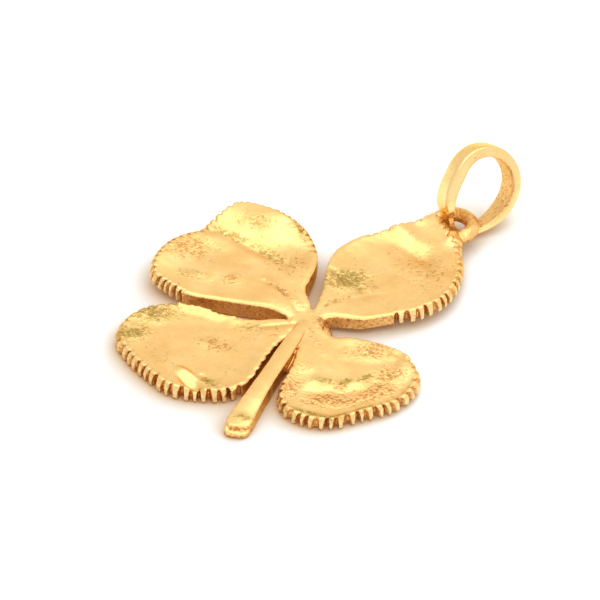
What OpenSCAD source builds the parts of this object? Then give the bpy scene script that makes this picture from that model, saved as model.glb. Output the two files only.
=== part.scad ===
// Four-leaf clover charm, cast in one piece with its stem and eyelet, and the loop bail that hangs it.
// Millimetres. It lies on its back: +Z is up, +Y runs from the hub towards the bail, +X to the right.
// The origin is the middle of the lying pendant, on the surface that it rests on.

/* [Leaves] */
// Depth of the grooves cut across the leaf edges
notch_depth = 0.36; // [0.1:0.02:0.5]
// Spacing of the points on a plain stretch of leaf edge
edge_step = 0.8; // [0.3:0.1:2]

// Upper-left leaf: [angle in degrees, radius] of its outline about its own centre
left_outline = [[2, 6.7], [10, 5.5], [20, 5.2], [45, 5.2], [68, 5.25], [92, 5.2], [118, 5.3], [132, 5.35],
    [142, 5.2], [156, 4.45], [178, 3.95], [196, 4.6], [216, 5.4], [240, 5.95], [256, 5.3], [272, 4.8],
    [292, 4.3], [310, 4.25], [328, 4.65], [342, 5.5], [352, 7.4]];
// Top leaf, which carries the eyelet: [angle, radius]
top_outline = [[5, 4.6], [30, 4.4], [55, 4.45], [78, 4.7], [96, 5.1], [111, 5.9], [120, 5.05], [138, 4.2],
    [160, 3.7], [185, 3.85], [210, 4.3], [235, 4.75], [252, 5.4], [262, 6.4], [269, 7.6], [278, 6.6],
    [292, 5.95], [310, 5.1], [335, 4.85]];
// Lower-left leaf: [angle, radius]
front_outline = [[15, 4.75], [35, 4.95], [48, 5.7], [56, 6.2], [62, 5], [76, 3.3], [95, 2.7], [118, 2.55],
    [140, 2.9], [165, 3.8], [185, 4.8], [210, 5.5], [225, 5.6], [245, 5.1], [270, 4.9], [295, 5.3],
    [315, 5.45], [338, 5.7], [352, 5.4]];
// Right leaf: [angle, radius]
right_outline = [[5, 4.1], [25, 4.6], [45, 5], [65, 4.75], [85, 4.3], [105, 3.8], [130, 3.7], [148, 3.9],
    [156, 5.1], [168, 5.4], [180, 4.2], [205, 3.5], [225, 3.65], [245, 4.5], [262, 4.85], [285, 4.65],
    [305, 4.3], [325, 3.8], [345, 3.7]];

// Folds and dents in the leaf tops: [from, to, height, half width]
folds = [[[-11.4, 1.3], [-8.5, 2.4], -0.1, 0.5], [[-8.5, 2.4], [-5, 3], -0.1, 0.5],
    [[-2.4, 4.9], [0.9, 5], -0.07, 0.4], [[-3.2, 11.4], [-1.6, 12.6], 0.1, 0.7],
    [[-1.4, 9.7], [0.9, 9.4], -0.09, 0.8], [[-2, 13.2], [0.1, 13.3], 0.16, 0.9],
    [[-7, -4.9], [-3.9, -3.5], -0.08, 0.5], [[-0.8, -8.1], [1.2, -8.2], -0.07, 0.4],
    [[3.2, -3.1], [5.2, -2], 0.13, 0.6], [[5.2, -2], [6.3, 0.6], 0.13, 0.6],
    [[4.6, -4], [6.5, -2.3], -0.1, 0.5], [[6.5, -2.3], [8, 0.7], -0.1, 0.5]];

/* [Stem] */
// Direction of the stem from the hub
stem_angle = -67.5; // [-80:0.5:-50]
// Stem sections from the hub out: [distance, width, underside height, top height]
stem_sections = [[0, 0.7, 0.3, 1.25], [1.5, 0.95, 0.28, 1.4], [3.2, 1.1, 0.2, 1.35], [5, 1.1, 0.12, 1.3],
    [6.8, 1.2, 0.06, 1.25], [8.2, 1.35, 0.02, 1.15], [9.4, 1.55, 0, 1], [10.3, 1.65, 0, 0.9],
    [10.75, 1.6, 0.02, 0.85], [10.95, 1.35, 0.1, 0.75]];
// Low web in the gap between the stem and the right leaf: [middle, thickness]
web = [[[0.9, -0.9, 0.62], 1], [[1.75, -2.15, 0.45], 0.84], [[2.35, -3.15, 0.32], 0.6]];

/* [Hub] */
// Middle of the hub
hub_centre = [0.1, 0.25];
// Radius of the solid hub where the leaves meet
hub_radius = 1.2; // [0.8:0.05:2]
// Height of the hub's underside
hub_floor = 0.3; // [0:0.05:0.8]
// Thickness of the hub
hub_wall = 0.92; // [0.6:0.02:1.6]

/* [Eyelet] */
// Middle of the eyelet ring
eyelet_centre = [-0.36, 14.11, 1.19];
// Radius of the ring to the middle of its wire
eyelet_radius = 1.25; // [0.9:0.05:1.6]
// Thickness of the ring's wire
eyelet_wire = 0.96; // [0.5:0.02:1.2]
// Solder that joins the ring to the leaf: [middle, thickness] from the ring to the leaf edge
solder = [[[0.45, 13.3, 1.15], 0.92], [[1, 12.95, 1.1], 0.92], [[1.5, 12.5, 1.05], 0.84]];

/* [Bail] */
// Middle of the bail loop
bail_centre = [-0.6, 16.82, 2.83];
// How the bail lies: turn in its own plane, rise of its flat side, heading of its flat side
bail_pose = [48, -22.7, -14];
// Sections round the loop: [angle from its right side, radius, band width, band thickness]
bail_sections = [[0, 2.2, 1.55, 0.9], [50, 2.54, 1.55, 0.82], [90, 2.58, 1.6, 0.76], [135, 2.4, 1.85, 0.68],
    [180, 2.2, 1.85, 0.63], [206, 2.26, 1.75, 0.62], [230, 2.48, 1.45, 0.58], [250, 2.9, 0.95, 0.44],
    [264, 3.26, 0.7, 0.4], [275, 3.36, 0.66, 0.4], [286, 3.2, 0.67, 0.4], [295, 2.93, 0.84, 0.42],
    [304, 2.8, 1.36, 0.62], [316, 2.66, 1.52, 0.8], [338, 2.33, 1.52, 0.9]];
// Stations round the bail
bail_stations = 72; // [24:4:96]
// How square the band's section is: 2 is an ellipse
band_squareness = 5.5; // [2:0.1:8]

/* [Node] */
// Which piece to build

/* [Hidden] */
// Each leaf: [outline, centre, height of its underside, its rise per mm in x and y, edge thickness at
// x = 0 and its growth along x, bowl depth, how sharply the bowl turns up at the rim, first and last
// notch angle, notch spacing]
leaves = [
    [left_outline, [-7.4, 1.2], -0.42, [-0.125, 0.08], [1.72, 0.075], 0.4, 3.2, 50, 269, 0.52],
    [top_outline, [0.2, 8.4], 0.39, [0, 0.021], [0.95, 0], 0.45, 3.2, -47, 170, 0.67],
    [front_outline, [-3.6, -5.6], 0.15, [0, 0.015], [1.1, 0], 0.5, 3.6, 184, 347, 0.67],
    [right_outline, [5.6, -1.6], 0.15, [0, 0.02], [1, 0], 0.42, 5.5, 233, 430, 0.67]];
OUTLINE = 0; CENTRE = 1; LIFT = 2; RISE = 3; WALL = 4; BOWL = 5; TURN = 6; NOTCH_FROM = 7; NOTCH_TO = 8; PITCH = 9;
// The area that the leaf surfaces are worked out over, and the spacing of their points
field_low = [-13, -11.2];
field_high = [10.4, 14.8];
top_step = 0.42;
under_step = 1.8;
// Well below and above everything
deep = -2;
high = 4;
// Puts the origin in the middle of the lying pendant
shift = [1.05, -4.53, 0];

// Smooth closed curves through a table's rows

// Column c of row i of a table that goes round and round; column 0 is the angle
function lap(rows, i, c) = let (n = len(rows), turns = floor(i / n))
    rows[i - n * turns][c] + (c == 0 ? 360 * turns : 0);
function lean(rows, i, c) = (lap(rows, i + 1, c) - lap(rows, i - 1, c))
    / (lap(rows, i + 1, 0) - lap(rows, i - 1, 0));
// Column c at angle a, on the smooth curve through the rows
function around(rows, a, c = 1) = let (
    w = a - 360 * floor((a - rows[0][0]) / 360),
    i = max([for (k = [0:len(rows) - 1]) if (rows[k][0] <= w) k]),
    h = lap(rows, i + 1, 0) - lap(rows, i, 0),
    s = (w - lap(rows, i, 0)) / h,
    s2 = s * s, s3 = s2 * s)
    (2 * s3 - 3 * s2 + 1) * lap(rows, i, c) + (s3 - 2 * s2 + s) * h * lean(rows, i, c)
    + (3 * s2 - 2 * s3) * lap(rows, i + 1, c) + (s3 - s2) * h * lean(rows, i + 1, c);

// Leaf heights

// How far out on its leaf a point is: 0 at the leaf's centre, 1 on its outline
function reach(leaf, p) = let (d = p - leaf[CENTRE])
    norm(d) / around(leaf[OUTLINE], atan2(d[1], d[0]));
function leaf_floor(leaf, p) = leaf[LIFT] + leaf[RISE] * p;
function leaf_top(leaf, p, out) = leaf_floor(leaf, p) + leaf[WALL] * [1, p[0]]
    - leaf[BOWL] * (1 - pow(min(out, 1), leaf[TURN]));
function past(p, fold) = let (run = fold[1] - fold[0],
    t = min(max((p - fold[0]) * run / (run * run), 0), 1))
    norm(p - fold[0] - t * run);
function folded(p) = [for (fold = folds) fold[2] * exp(-pow(past(p, fold) / fold[3], 2))]
    * [for (fold = folds) 1];
function pull(out) = 1 / (pow(out, 5) + 0.02);
// Blends the leaves and the hub: k = 0 gives the underside, k = 1 the top
function height(p, k) = let (
    outs = [for (leaf = leaves) reach(leaf, p)],
    hub_pull = 0.5 * pull(norm(p - hub_centre) / (1.3 * hub_radius)),
    pulls = [for (out = outs) pull(out)],
    each_height = [for (i = [0:len(leaves) - 1]) k == 0 ? leaf_floor(leaves[i], p)
        : leaf_top(leaves[i], p, outs[i])])
    (pulls * each_height + hub_pull * (hub_floor + k * hub_wall))
    / (pulls * [for (i = pulls) 1] + hub_pull) + k * folded(p);

// A block over the whole field whose one face is the leaves' top (k = 1) or underside (k = 0)
module field_block(k, step, other_z) {
    nx = ceil((field_high[0] - field_low[0]) / step);
    ny = ceil((field_high[1] - field_low[1]) / step);
    plan = [for (j = [0:ny]) for (i = [0:nx]) field_low + step * [i, j]];
    faces_up = [for (p = plan) [p[0], p[1], max(height(p, k), 0)]];
    rim = concat([for (i = [0:nx]) i], [for (j = [1:ny]) j * (nx + 1) + nx],
        [for (i = [1:nx]) ny * (nx + 1) + nx - i], [for (j = [1:ny - 1]) (ny - j) * (nx + 1)]);
    count = len(plan);
    others = [for (v = rim) [plan[v][0], plan[v][1], other_z]];
    grid = [for (j = [0:ny - 1]) for (i = [0:nx - 1]) let (a = j * (nx + 1) + i, b = a + nx + 1)
        each [[a, b, a + 1], [a + 1, b, b + 1]]];
    sides = [for (v = [0:len(rim) - 1]) let (w = (v + 1) % len(rim))
        each [[rim[v], rim[w], count + v], [rim[w], count + w, count + v]]];
    cap = [[for (v = [0:len(rim) - 1]) count + v]];
    faces = concat(grid, sides, cap);
    polyhedron(concat(faces_up, others), other_z < 0 ? faces : [for (f = faces) [for (i = [len(f) - 1:-1:0]) f[i]]]);
}

// Leaf outlines

function on_leaf(leaf, a, cut) = leaf[CENTRE] + (around(leaf[OUTLINE], a) - cut) * [cos(a), sin(a)];
// The turn about the leaf's centre that carries its edge on by a length
function turn(leaf, a, length) = let (r = around(leaf[OUTLINE], a), dr = around(leaf[OUTLINE], a + 1) - r)
    length / norm([r * PI / 180, dr]);
// Ridges and grooves across the notched stretch, then plain points over the rest
module leaf_outline(leaf) {
    notched = [for (a = leaf[NOTCH_FROM]; a < leaf[NOTCH_TO]; a = a + turn(leaf, a, leaf[PITCH]))
        let (t = turn(leaf, a, leaf[PITCH]))
        each [on_leaf(leaf, a, 0), on_leaf(leaf, a + 0.45 * t, 0), on_leaf(leaf, a + 0.72 * t, notch_depth)]];
    plain = [for (a = leaf[NOTCH_TO] + turn(leaf, leaf[NOTCH_TO], leaf[PITCH]); a < leaf[NOTCH_FROM] + 360;
        a = a + turn(leaf, a, edge_step)) on_leaf(leaf, a, 0)];
    polygon(concat(notched, plain));
}

module leaf_plan() {
    for (leaf = leaves) leaf_outline(leaf);
    translate(hub_centre) circle(hub_radius, $fn = 24);
}

module leaf_bodies() {
    difference() {
        intersection() {
            field_block(1, top_step, deep);
            translate([0, 0, deep / 2]) linear_extrude(high) leaf_plan();
        }
        field_block(0, under_step, 2 * deep);
    }
}

// Stem

// One thin slice of the stem: flat underneath and on top, with its upper edges taken off
module stem_slice(row) {
    w = row[1]; low = row[2]; tall = row[3] - row[2];
    translate([row[0], 0, low]) rotate([90, 0, 90]) linear_extrude(0.02) polygon([
        [-w / 2, 0], [w / 2, 0], [w / 2, 0.86 * tall], [0.42 * w, 0.97 * tall], [0.2 * w, tall],
        [-0.2 * w, tall], [-0.42 * w, 0.97 * tall], [-w / 2, 0.86 * tall]]);
}

module stem() {
    translate(hub_centre) rotate(stem_angle)
        for (i = [0:len(stem_sections) - 2])
            hull() { stem_slice(stem_sections[i]); stem_slice(stem_sections[i + 1]); }
    chain(web);
}

// A thick line through rows of [middle, thickness]
module chain(rows) {
    for (i = [0:len(rows) - 2]) hull() for (blob = [rows[i], rows[i + 1]])
        translate(blob[0]) sphere(d = blob[1], $fn = 12);
}

// Eyelet

module eyelet() {
    translate(eyelet_centre) rotate_extrude($fn = 40)
        translate([eyelet_radius, 0]) circle(d = eyelet_wire, $fn = 12);
    chain(solder);
}

module clover() {
    color("gold") translate(shift) {
        leaf_bodies();
        stem();
        eyelet();
    }
}

// Bail

function loop_point(a) = let (r = around(bail_sections, a)) [0, r * sin(a), r * cos(a)];
function squared(v) = sign(v) * pow(abs(v), 2 / band_squareness);
// One section of the band: x runs across the band, the rest lies in the loop's plane
function band_section(a, corners) = let (
    p = loop_point(a),
    along = loop_point(a + 1) - loop_point(a - 1),
    out = [0, -along[2], along[1]] * sign(p * [0, -along[2], along[1]]) / norm(along),
    w = around(bail_sections, a, 2), t = around(bail_sections, a, 3))
    [for (k = [0:corners - 1]) let (b = 360 * (k + 0.5) / corners)
        p + [w / 2 * squared(cos(b)), 0, 0] + out * t / 2 * squared(sin(b))];

module bail() {
    corners = 12;
    points = [for (i = [0:bail_stations - 1]) each band_section(360 * i / bail_stations, corners)];
    count = len(points);
    skin = [for (i = [0:bail_stations - 1]) for (k = [0:corners - 1]) let (
        a = i * corners + k, b = i * corners + (k + 1) % corners,
        c = (a + corners) % count, d = (b + corners) % count)
        each [[a, b, c], [b, d, c]]];
    color("goldenrod") translate(shift) translate(bail_centre) rotate(bail_pose) polyhedron(points, skin);
}

clover();
bail();
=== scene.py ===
# Four-leaf clover pendant, cast in soft yellow gold, lying on a white table with its loop bail.
import math

import bpy
import numpy as np
from mathutils import Euler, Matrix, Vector


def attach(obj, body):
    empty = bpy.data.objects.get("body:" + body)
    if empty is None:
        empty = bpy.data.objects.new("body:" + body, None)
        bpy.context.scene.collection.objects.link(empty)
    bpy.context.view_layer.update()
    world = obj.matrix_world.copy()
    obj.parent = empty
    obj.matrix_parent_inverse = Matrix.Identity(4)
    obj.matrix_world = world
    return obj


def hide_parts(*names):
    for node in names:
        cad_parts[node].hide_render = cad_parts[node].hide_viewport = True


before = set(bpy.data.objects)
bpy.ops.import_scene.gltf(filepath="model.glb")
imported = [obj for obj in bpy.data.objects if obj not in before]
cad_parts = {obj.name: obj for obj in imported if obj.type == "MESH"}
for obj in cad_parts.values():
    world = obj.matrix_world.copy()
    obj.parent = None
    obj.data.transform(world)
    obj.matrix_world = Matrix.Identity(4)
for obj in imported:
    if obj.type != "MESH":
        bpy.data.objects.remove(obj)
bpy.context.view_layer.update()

# All shapes below are in millimetres about the clover's hub. SHIFT carries them to the frame,
# whose origin is the middle of the lying pendant.
MM = 0.001
SHIFT = np.array([1.05, -4.53, 0.0])

# Leaf outlines: (angle in degrees, radius) about each leaf's own centre
LEFT_OUTLINE = [(2, 6.7), (10, 5.5), (20, 5.2), (45, 5.2), (68, 5.25), (92, 5.2), (118, 5.3), (132, 5.35),
                (142, 5.2), (156, 4.45), (178, 3.95), (196, 4.6), (216, 5.4), (240, 5.95), (256, 5.3),
                (272, 4.8), (292, 4.3), (310, 4.25), (328, 4.65), (342, 5.5), (352, 7.4)]
TOP_OUTLINE = [(5, 4.6), (30, 4.4), (55, 4.45), (78, 4.7), (96, 5.1), (111, 5.9), (120, 5.05), (138, 4.2),
               (160, 3.7), (185, 3.85), (210, 4.3), (235, 4.75), (252, 5.4), (262, 6.4), (269, 7.6),
               (278, 6.6), (292, 5.95), (310, 5.1), (335, 4.85)]
FRONT_OUTLINE = [(15, 4.75), (35, 4.95), (48, 5.7), (56, 6.2), (63, 5.6), (67, 4.45), (76, 3.3), (95, 2.7),
                 (118, 2.55), (140, 2.9), (165, 3.8), (185, 4.8), (210, 5.5), (225, 5.6), (245, 5.1),
                 (270, 4.9), (295, 5.3), (315, 5.45), (338, 5.7), (352, 5.4)]
RIGHT_OUTLINE = [(5, 4.1), (25, 4.6), (45, 5), (65, 4.75), (85, 4.3), (105, 3.8), (130, 3.7), (148, 3.9),
                 (156, 5.1), (168, 5.4), (180, 4.2), (205, 3.5), (225, 3.65), (245, 4.5), (262, 4.85),
                 (285, 4.65), (305, 4.3), (325, 3.8), (345, 3.7)]
# One row a leaf. lift and rise set the plane of its underside, wall the thickness of its edge (at x = 0,
# and its growth along x), bowl how deep its top is dished and turn how sharply that meets the rim.
# notched is the stretch of its edge that has grooves, pitch their spacing, foot how wide each is at its
# foot and rough how uneven the plain edge is.
LEAVES = [
    dict(outline=LEFT_OUTLINE, centre=(-7.4, 1.2), lift=-0.42, rise=(-0.125, 0.08), wall=(1.72, 0.075),
         bowl=0.3, turn=3.2, notched=(50, 269), pitch=0.52, foot=0.32, rough=0.012),
    dict(outline=TOP_OUTLINE, centre=(0.2, 8.4), lift=0.39, rise=(0, 0.021), wall=(0.95, 0),
         bowl=0.23, turn=4, notched=(-47, 170), pitch=0.67, foot=0.3, rough=0.025),
    dict(outline=FRONT_OUTLINE, centre=(-3.6, -5.6), lift=0.15, rise=(0, 0.015), wall=(1.1, 0),
         bowl=0.31, turn=5, notched=(162, 347), pitch=0.67, foot=0.28, rough=0.06),
    dict(outline=RIGHT_OUTLINE, centre=(5.6, -1.6), lift=0.15, rise=(0, 0.02), wall=(1, 0),
         bowl=0.33, turn=7, notched=(233, 430), pitch=0.67, foot=0.36, rough=0.03),
]
EDGE_STEPS = 1440       # how finely the edge of a leaf is followed

# The grooves. Their widths are half widths, as shares of the pitch.
NOTCH_DEPTH = 0.5       # how deep each is at its foot
NICK_DEPTH = 0.14       # how deep it still is where it reaches the rim
NICK_WIDTH = 0.15       # how wide it is there
NICK_FLARE = 0.5        # how much wider a deeper nick is
NICK_RUN = (0.02, 0.25)  # where on the way down it starts to deepen, and over what share
FLARE_POWER = 0.4       # how soon it widens on the way down: the less, the sooner
HOLLOW_POWER = 0.7      # how hollow it is across: the less, the squarer
GROOVE_RUN = 0.12       # the length in which the grooves start and end
# How uneven their spacing and their depth are: (height, frequency, phase), and the depth's middle share
SPACING_WAVES = ((0.1, 2.1, 0), (0.1, 0.83, 1))
DEPTH_WAVES = ((0.2, 2.4, 0.6),)
DEPTH_SHARE = 0.8
# Beside the ring they bite deeper into the rim: centre, reach and extra depth
RING_NICKS = ((0.3, 13.2), 2, 0.15)
# and run on over it as slots: half width as a share of the pitch, length, depth and how far out they end
RING_SLOTS = (0.24, 0.5, 0.13, 0.3)

# The rim
RIM_ROLL = 0.2          # how far the top falls at its rounded rim, and over what width
ROLL_WIDTH = 0.36
PLAIN_ROLL = 0.6        # the share of that at an edge without grooves
RIM_INSET = 0.26        # how far the top of a grooved edge stands back from its foot
INSET_RUN = 1.6         # over what length that starts
INSET_FALL = 1.6        # and how soon it is gone on the way down
EDGE_ROUND = 0.1        # how round the edges are, how much more the grooved ones and how near to them
GROOVED_ROUND = 0.06
GROOVED_REACH = 1.2
LEAST_EDGE = 0.3        # the least height that the grooves run over

# Where the dishes of the leaves start, away from the hub, and over what length they reach their depth
DISH_START = 1.5
DISH_RUN = 4.5
# Slow and fine unevenness of the tops: (height, size, seed)
TOP_RIPPLES = [(0.018, 2.6, 5), (0.004, 0.9, 6)]
# And of the plain edges: (size, seed)
EDGE_RIPPLES = (0.55, 9)

# Folds and dents in the leaf tops: (points along it, height, half width)
FOLDS = [
    # left leaf: the crease below its raised far half, the lip inside its far rim, the fold to the hub
    (((-11.4, 1.3), (-10.2, 2), (-8.5, 2.4), (-7.4, 2.5), (-6, 2.85), (-5, 3)), -0.12, 0.4),
    (((-11.1, 5.1), (-10.5, 5.35), (-9.3, 5.85), (-8.2, 6.1), (-7.1, 6.1), (-6.3, 5.8)), -0.15, 0.12),
    (((-4.5, 0.9), (-3.3, 1.1), (-2.1, 0.9), (-1, 0.5)), -0.04, 0.2),
    (((-12, 0.6), (-11, 1.7)), -0.12, 0.9),
    # top leaf: its raised far corner and tip, its dents and the crease to the hub
    (((-3.2, 11.6), (-1.8, 12.6), (0.3, 13.1)), 0.04, 1.3),
    (((-1.5, 13.2), (-0.4, 13.1), (0.7, 12.9)), 0.16, 0.55),
    (((-1.4, 9.6), (0.9, 9.3)), -0.04, 0.8),
    (((-2.4, 4.9), (-0.9, 5.1), (0.9, 5)), -0.07, 0.3),
    (((-0.1, 1.7), (0.2, 3.2), (0.85, 4.4), (1.7, 5.9)), -0.02, 0.22),
    # front leaf: the bright facet with its crease, the far band, the fold to the hub
    (((-0.8, -8.1), (0.1, -8), (1.2, -8.2)), -0.07, 0.22),
    (((-7, -4.9), (-5.5, -4.05), (-3.9, -3.5)), -0.05, 0.5),
    (((-1.5, -2.2), (-0.75, -1.25), (-0.2, -0.45)), -0.05, 0.16),
    # right leaf: the crease under its plateau, the line inside its near rim and the lip inside its far rim
    (((4.4, -3.2), (5.7, -2.4), (6.4, -1.3), (6.8, 0.1)), -0.02, 0.2),
    (((5.3, -4.9), (6.4, -4.4), (7.4, -3.9), (8, -2.6), (8.3, -0.9)), -0.03, 0.16),
    (((5.8, 2.3), (6.5, 2.4), (7.1, 2.4), (7.9, 2.45), (8.6, 2.2)), -0.06, 0.14),
]
# Flat patches that lean towards one side: (x, y, half length, half width, turn in degrees, height, its
# rise along x and along y, and how crisp its edge is)
FACETS = [
    # left leaf
    (-7.6, 4.3, 3.6, 1.9, 20, 0, -0.08, 0.07, 2),
    (-8.2, 0.2, 3, 1.7, 15, 0, 0.07, -0.055, 1.3),
    # top leaf
    (-0.7, 10.65, 2.1, 0.8, -10, 0, -0.16, 0.15, 1.5),
    # front leaf
    (-1.1, -8.95, 1.35, 0.5, -10, -0.1, -0.2, 0.5, 2.5),
    # right leaf
    (4.1, -1, 2.6, 1.7, 25, 0, 0.05, -0.05, 1.2),
    (5.1, 1.3, 1.7, 0.7, 50, 0, 0.07, -0.07, 1.2),
    (5.15, -3.35, 0.95, 0.8, 45, 0, -0.14, 0.13, 1.5),
    (6.95, -1.5, 0.75, 0.5, 55, 0, -0.15, 0.14, 1.4),
    (8.2, 1.1, 1.7, 0.6, 125, 0, -0.14, 0.13, 1.5),
]
# The right leaf's flat plateau: its edge, how far the leaf steps down there, how softly, and the middle
# and reach of the plateau
SHELF = dict(edge=[(1.9, -2), (4.4, -3.2), (5.7, -2.4), (6.4, -1.3), (6.8, 0.1), (6.6, 1.6), (6.2, 2.6)],
             step=0.14, soft=0.4, centre=(4.8, -0.9), reach=3.3)
# Where the leaf's edge stands straight up over the ring: centre and reach
TIP = ((-0.8, 13.3), 1.3)

HUB_CENTRE = (0.1, 0.25)
HUB_RADIUS = 1.2
HUB_FLOOR = 0.3
HUB_WALL = 0.92
# How the heights of the leaves and the hub run together: the power with which each one fades with
# distance, what keeps it finite at its centre, and the hub's share and reach
PULL_POWER = 5
PULL_LEAST = 0.02
HUB_PULL = (0.5, 1.3)

# Fillets: between the leaves, at the stem and the ring, round the web and the lump, and inside these
CROTCH_FILLET = 0.28
STEM_FILLET = 0.07
RING_FILLET = 0.1
LUMP_FILLET = 0.15
LUMP_SOFT = 0.2

STEM_ANGLE = -67.5
# Stem sections from the hub out: (distance, width, underside height, top height)
STEM_SECTIONS = [(0, 0.7, 0.3, 1.25), (1.5, 0.95, 0.28, 1.4), (3.2, 1.1, 0.2, 1.35), (5, 1.1, 0.12, 1.3),
                 (6.8, 1.2, 0.06, 1.25), (8.2, 1.35, 0.02, 1.15), (9.4, 1.55, 0, 1), (10.3, 1.65, 0, 0.9),
                 (10.95, 1.6, 0.03, 0.82)]
STEM_CROWN = 0.07       # how much higher its middle is than its sides
STEM_ROUND = 0.09       # how round its edges are
# How uneven its sides and its broken end are: (height, frequency, phase)
STEM_WAVES = ((0.008, 4.1, 2),)
END_WAVES = ((0.06, 6, 1), (0.03, 17, 0))
# Its broken end: the crack's height, half width and depth, how much shorter the end is above it and how
# softly that starts, how it slants back on one side, and how far its middle bulges and how wide
STEM_END = dict(crack=0.5, crack_width=0.07, crack_depth=0.28, step=0.3, soft=0.04, slant=0.4,
                bulge=0.25, bulge_width=0.8)

# Low web that fills the start of the gap between the stem and the right leaf: (point, radius)
WEB = [((0.9, -0.9, 0.62), 0.5), ((1.75, -2.15, 0.45), 0.42), ((2.35, -3.15, 0.32), 0.3)]

# And the pitted lump at the start of the gap between the top and right leaves
LUMP = [((0.75, 0.95, 0.7), 0.42), ((1.45, 0.85, 0.5), 0.36)]

EYELET_CENTRE = (-0.36, 14.11, 1.19)
EYELET_RADIUS = 1.25
EYELET_WIRE = 0.96
# Where the leaf's edge flattens the ring's top: up to what y, at what height, how steeply it rises from
# there and how softly it meets the ring
EYELET_UNDER = (13.45, 1.3, 0.6, 0.15)
# Solder between the ring and the leaf: (point, radius)
SOLDER = [((0.45, 13.3, 1.15), 0.46), ((1, 12.95, 1.1), 0.46), ((1.5, 12.5, 1.05), 0.42)]

BAIL_CENTRE = np.array([-0.6, 16.82, 2.83])
BAIL_POSE = (48, -22.7, -14)
BAIL_SQUARENESS = 5.5
# Sections round the bail: (angle from its right side, radius, band width, band thickness)
BAIL_SECTIONS = [(0, 2.2, 1.55, 0.9), (50, 2.54, 1.55, 0.82), (90, 2.58, 1.6, 0.76), (135, 2.4, 1.85, 0.68),
                 (180, 2.2, 1.85, 0.63), (206, 2.26, 1.75, 0.62), (230, 2.48, 1.45, 0.58),
                 (250, 2.9, 0.95, 0.44), (264, 3.26, 0.7, 0.4), (275, 3.36, 0.66, 0.4),
                 (286, 3.2, 0.67, 0.4), (295, 2.93, 0.84, 0.42), (304, 2.8, 1.36, 0.62),
                 (316, 2.66, 1.52, 0.8), (338, 2.33, 1.52, 0.9)]
# Where the painted shade on its inside is darkest and where its tarnished line runs: angle round the bail
# and reach, and for the line also the angle round the band in radians and its reach
BAIL_DARK = (35, 20)
BAIL_LINE = ((122, 26), (0.75, 0.12))
BAIL_SHADE = (0.3, 0.5)         # how dark the painted shade on its inside is all round, and how much more at its darkest
BAIL_PLAIN = 0.05               # pits and orange tarnish on its outside
BAIL_INNER = (0.9, 0.55, 1.6)   # and how much more on its inside, and how sharply that starts

# The grid that the casting's surface is found on, and how many triangles it is thinned to
GRID_STEP = np.array([0.07, 0.07, 0.066])
GRID_LOW = np.array([-12.4, -11.0, -0.2])
GRID_HIGH = np.array([10.3, 16.3, 2.7])
MOST_TRIANGLES = 185000

# The photograph's camera: its heading about +Z and its height over the table in degrees, how far it stands
# and what one pixel covers at the hub's top, which lies at HUB_PIXEL
CAMERA_HEADING = 47
CAMERA_HEIGHT = 40
CAMERA_DISTANCE = 330
PIXEL_SIZE = 0.065
HUB_PIXEL = (302, 322)
HUB_TOP = 1.2
IMAGE_SIZE = 600
SENSOR = 36
CLIP = (0.01, 10)       # in metres

# Smooth curves and distances


def around(rows, angle, column=1):
    """A column's value at an angle, on the smooth closed curve through the rows."""
    knots = np.array([row[0] for row in rows], float)
    values = np.array([row[column] for row in rows], float)
    knots = np.concatenate([[knots[-2] - 360, knots[-1] - 360], knots, [knots[0] + 360, knots[1] + 360]])
    values = np.concatenate([values[-2:], values, values[:2]])
    slopes = np.zeros(len(knots))
    slopes[1:-1] = (values[2:] - values[:-2]) / (knots[2:] - knots[:-2])
    angle = knots[2] + np.mod(np.asarray(angle, float) - knots[2], 360)
    i = np.clip(np.searchsorted(knots, angle, side="right") - 1, 2, len(knots) - 3)
    step = knots[i + 1] - knots[i]
    s = (angle - knots[i]) / step
    return ((2 * s**3 - 3 * s**2 + 1) * values[i] + (s**3 - 2 * s**2 + s) * step * slopes[i]
            + (3 * s**2 - 2 * s**3) * values[i + 1] + (s**3 - s**2) * step * slopes[i + 1])


def turned(x, y, centre, degrees):
    """Coordinates about a centre, along and across a direction."""
    dx, dy = x - centre[0], y - centre[1]
    c, s = math.cos(math.radians(degrees)), math.sin(math.radians(degrees))
    return dx * c + dy * s, dy * c - dx * s


def bell(value, middle, width):
    """1 at the middle, and falling to 0 on both sides of it."""
    return np.exp(-(((value - middle) / width) ** 2))


def round_patch(x, y, centre, reach):
    """1 around a centre in plan, and falling to 0 about its reach."""
    return np.exp(-((np.hypot(x - centre[0], y - centre[1]) / reach) ** 4))


def to_line(points, x, y):
    """Distance in plan from the line through points, and the same with a sign: plus on its right."""
    nearest, signed = np.full_like(x, 1e9), np.zeros_like(x)
    for (x0, y0), (x1, y1) in zip(points, points[1:]):
        run = np.array([x1 - x0, y1 - y0])
        t = np.clip(((x - x0) * run[0] + (y - y0) * run[1]) / (run @ run), 0, 1)
        distance = np.hypot(x - x0 - t * run[0], y - y0 - t * run[1])
        side = np.sign((x - x0) * run[1] - (y - y0) * run[0])
        signed = np.where(distance < nearest, side * distance, signed)
        nearest = np.minimum(nearest, distance)
    return nearest, signed


def blend_min(a, b, width):
    """The lesser of two distances, with a fillet of about this width where they meet."""
    t = np.clip(0.5 + 0.5 * (b - a) / width, 0, 1)
    return b + (a - b) * t - width * t * (1 - t)


def blend_max(a, b, width):
    return -blend_min(-a, -b, width)


def waves(value, rows):
    """The sum of a few sine waves: (height, frequency, phase)."""
    return sum(height * np.sin(frequency * value + phase) for height, frequency, phase in rows)


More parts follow.
